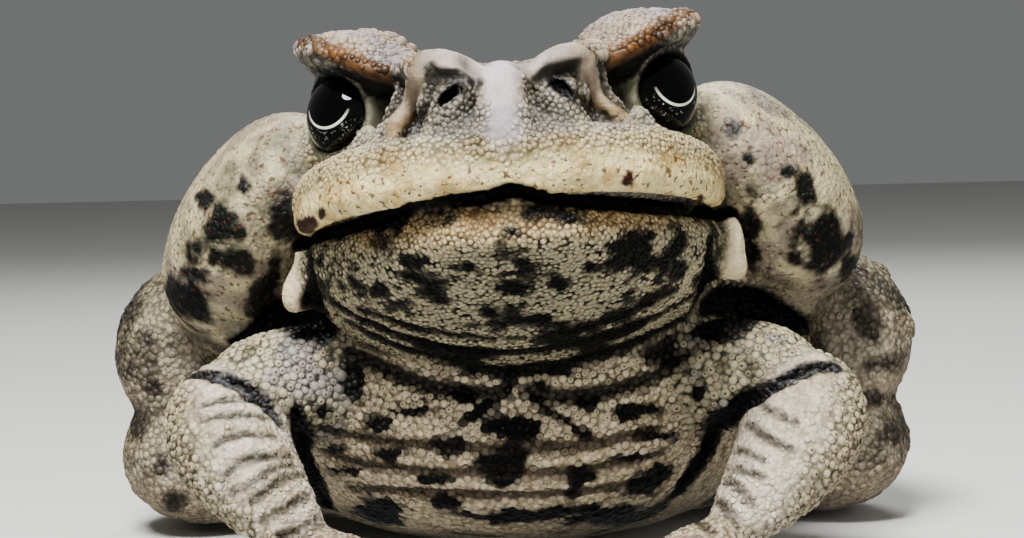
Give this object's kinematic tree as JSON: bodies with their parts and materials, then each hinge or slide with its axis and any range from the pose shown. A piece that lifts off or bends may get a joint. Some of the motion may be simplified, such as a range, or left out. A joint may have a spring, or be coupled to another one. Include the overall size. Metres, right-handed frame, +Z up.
{
  "type": "cane toad",
  "caption": "Life-size sitting toad with a raised head, broad mouth, ridged brows, large shoulder glands, warty back and folded legs.",
  "frame": {"origin": "on the ground, at the middle of the toad's footprint box", "axes": "+Z up, -Y the way the toad faces, +X the toad's own left side"},
  "size_m": [0.1204, 0.1338, 0.0754],
  "materials": {
    "hide": "matt",
    "throat": "matt",
    "gland": "satin",
    "belly": "matt",
    "eye": "wet gloss"
  },
  "bodies": {
    "root": {"eye_right": "eye", "eye_left": "eye", "head": "hide", "lower_jaw": "throat", "gape_wart_right": "gland", "gape_wart_left": "gland", "parotoid_right": "gland", "parotoid_left": "gland", "hand_right": "hide", "hand_left": "hide", "forearm_right": "hide", "forearm_left": "hide", "upper_arm_right": "hide", "upper_arm_left": "hide", "foot_right": "hide", "foot_left": "hide", "shank_right": "hide", "shank_left": "hide", "thigh_right": "hide", "thigh_left": "hide", "trunk": "belly"}
  },
  "joints": []
}
